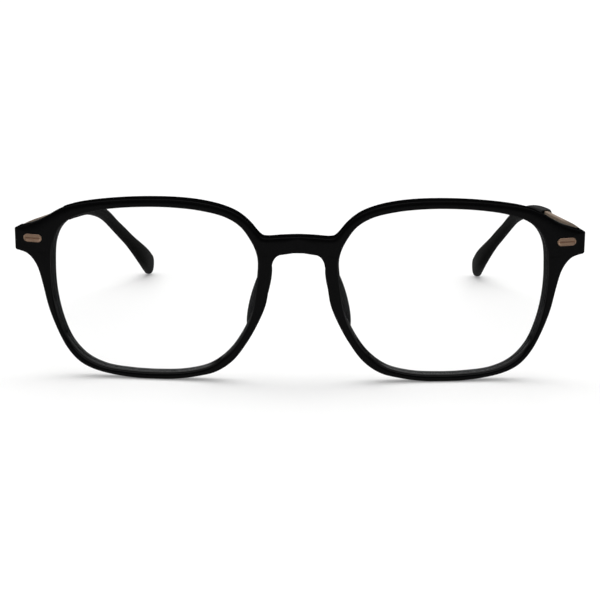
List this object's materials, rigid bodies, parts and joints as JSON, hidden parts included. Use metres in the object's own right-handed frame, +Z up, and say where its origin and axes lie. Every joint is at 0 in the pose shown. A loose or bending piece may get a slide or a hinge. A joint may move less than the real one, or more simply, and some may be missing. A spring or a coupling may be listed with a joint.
{
  "type": "blue light glasses",
  "caption": "Squarish full-rim glasses with clear lenses, inlaid endpiece plaques, flat metal arms and moulded tips; both temples fold.",
  "frame": {"origin": "on the surface the open glasses stand on, under the middle of their box", "axes": "+Z up, +Y from the front to the temple tips, +X to the side that is right as the front is looked at"},
  "size_m": [0.1421, 0.1538, 0.0462],
  "materials": {
    "front": "polished black acetate or nylon",
    "lens": "clear coated lens, almost colourless",
    "pad": "smooth black",
    "plaque": "satin rose-gold plate with fine grooves",
    "arm": "satin taupe metal",
    "hinge": "plain nickel-coloured metal",
    "tip": "polished black"
  },
  "bodies": {
    "front": {"front_frame": "front", "lens_left": "lens", "lens_right": "lens", "nose_pad_left": "pad", "nose_pad_right": "pad", "front_plaque_left": "plaque", "front_plaque_right": "plaque", "hinge_front_leaf_left": "hinge", "hinge_front_leaf_right": "hinge", "leaf_screw_upper_left": "hinge", "leaf_screw_lower_left": "hinge", "leaf_screw_upper_right": "hinge", "leaf_screw_lower_right": "hinge", "hinge_screw_left": "hinge", "hinge_screw_right": "hinge"},
    "temple_left": {"temple_hinge_leaf_left": "hinge", "temple_arm_left": "arm", "temple_tip_left": "tip"},
    "temple_right": {"temple_hinge_leaf_right": "hinge", "temple_arm_right": "arm", "temple_tip_right": "tip"}
  },
  "joints": [
    {"name": "fold_right", "type": "hinge", "parent": "front", "child": "temple_right", "pos_m": [0.0666, -0.0628, 0.035], "axis": [0, 0.0593, 0.9982], "range_deg": [0, 84]},
    {"name": "fold_left", "type": "hinge", "parent": "front", "child": "temple_left", "pos_m": [-0.0666, -0.0628, 0.035], "axis": [0, -0.0593, -0.9982], "range_deg": [0, 77]}
  ]
}
